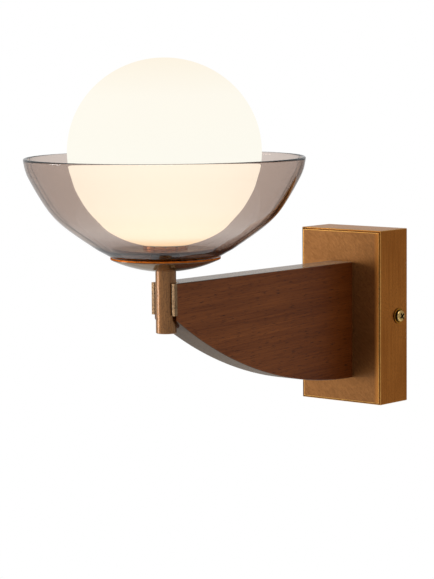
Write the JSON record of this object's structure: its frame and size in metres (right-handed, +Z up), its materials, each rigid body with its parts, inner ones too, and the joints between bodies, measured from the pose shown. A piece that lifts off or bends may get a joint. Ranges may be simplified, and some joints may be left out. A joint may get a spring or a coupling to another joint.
{
  "type": "wall lamp",
  "caption": "Walnut wall lamp: a brass wall box carries an arched arm, an upright tube, a smoked glass bowl and an opal glass globe that lifts off.",
  "frame": {"origin": "middle of the back of the wall box, in the plane of the wall, halfway between the two wall screw slots", "axes": "+Z up, +Y into the wall, so the lamp stands out along -Y; +X to the right for a viewer who faces the wall"},
  "size_m": [0.1752, 0.2966, 0.2358],
  "materials": {
    "aged_brass": "aged, brushed, satin",
    "raw_brass": "plain turned",
    "steel": "zinc plated",
    "walnut": "dark stain, satin lacquer, fine grain along the arm",
    "smoked_glass": "clear smoked brown",
    "opal_glass": "satin opal, lit from inside",
    "soft_washer": "matt silicone",
    "holder_ceramic": "glazed white",
    "bulb_ceramic": "matt white",
    "bulb_glass": "frosted",
    "block_plastic": "matt",
    "lead_sheath": "matt silicone sheath"
  },
  "bodies": {
    "lamp_body": {"arm": "walnut", "arm_screw_lower": "steel", "arm_screw_upper": "steel", "backing_plate": "steel", "bowl": "smoked_glass", "box_screw_left": "aged_brass", "box_screw_right": "aged_brass", "box_washer_left": "aged_brass", "box_washer_right": "aged_brass", "clamp_disc": "aged_brass", "clamp_nut": "steel", "cradle_screw": "steel", "disc_spacer": "raw_brass", "front_plate": "aged_brass", "globe_gallery": "aged_brass", "ground_screw": "raw_brass", "lamp_lead": "lead_sheath", "lampholder": "holder_ceramic", "lock_washer": "steel", "lower_gasket": "soft_washer", "saucer": "aged_brass", "seat_gasket": "soft_washer", "stem_bushing": "raw_brass", "stem_cradle": "aged_brass", "stem_plug": "aged_brass", "stem_tube": "aged_brass", "terminal_block": "block_plastic", "threaded_nipple": "raw_brass", "upper_gasket": "soft_washer", "wall_box_shell": "aged_brass", "wall_bracket": "steel"},
    "globe": {"globe": "opal_glass"},
    "bulb": {"bulb_base": "bulb_ceramic", "bulb_pins": "steel", "bulb_capsule": "bulb_glass"}
  },
  "joints": [
    {"name": "globe_lift", "type": "slide", "parent": "lamp_body", "child": "globe", "axis": [0, 0, 1], "range_m": [0, 0.095]},
    {"name": "bulb_pull", "type": "slide", "parent": "lamp_body", "child": "bulb", "axis": [0, 0, 1], "range_m": [0, 0.02]}
  ]
}
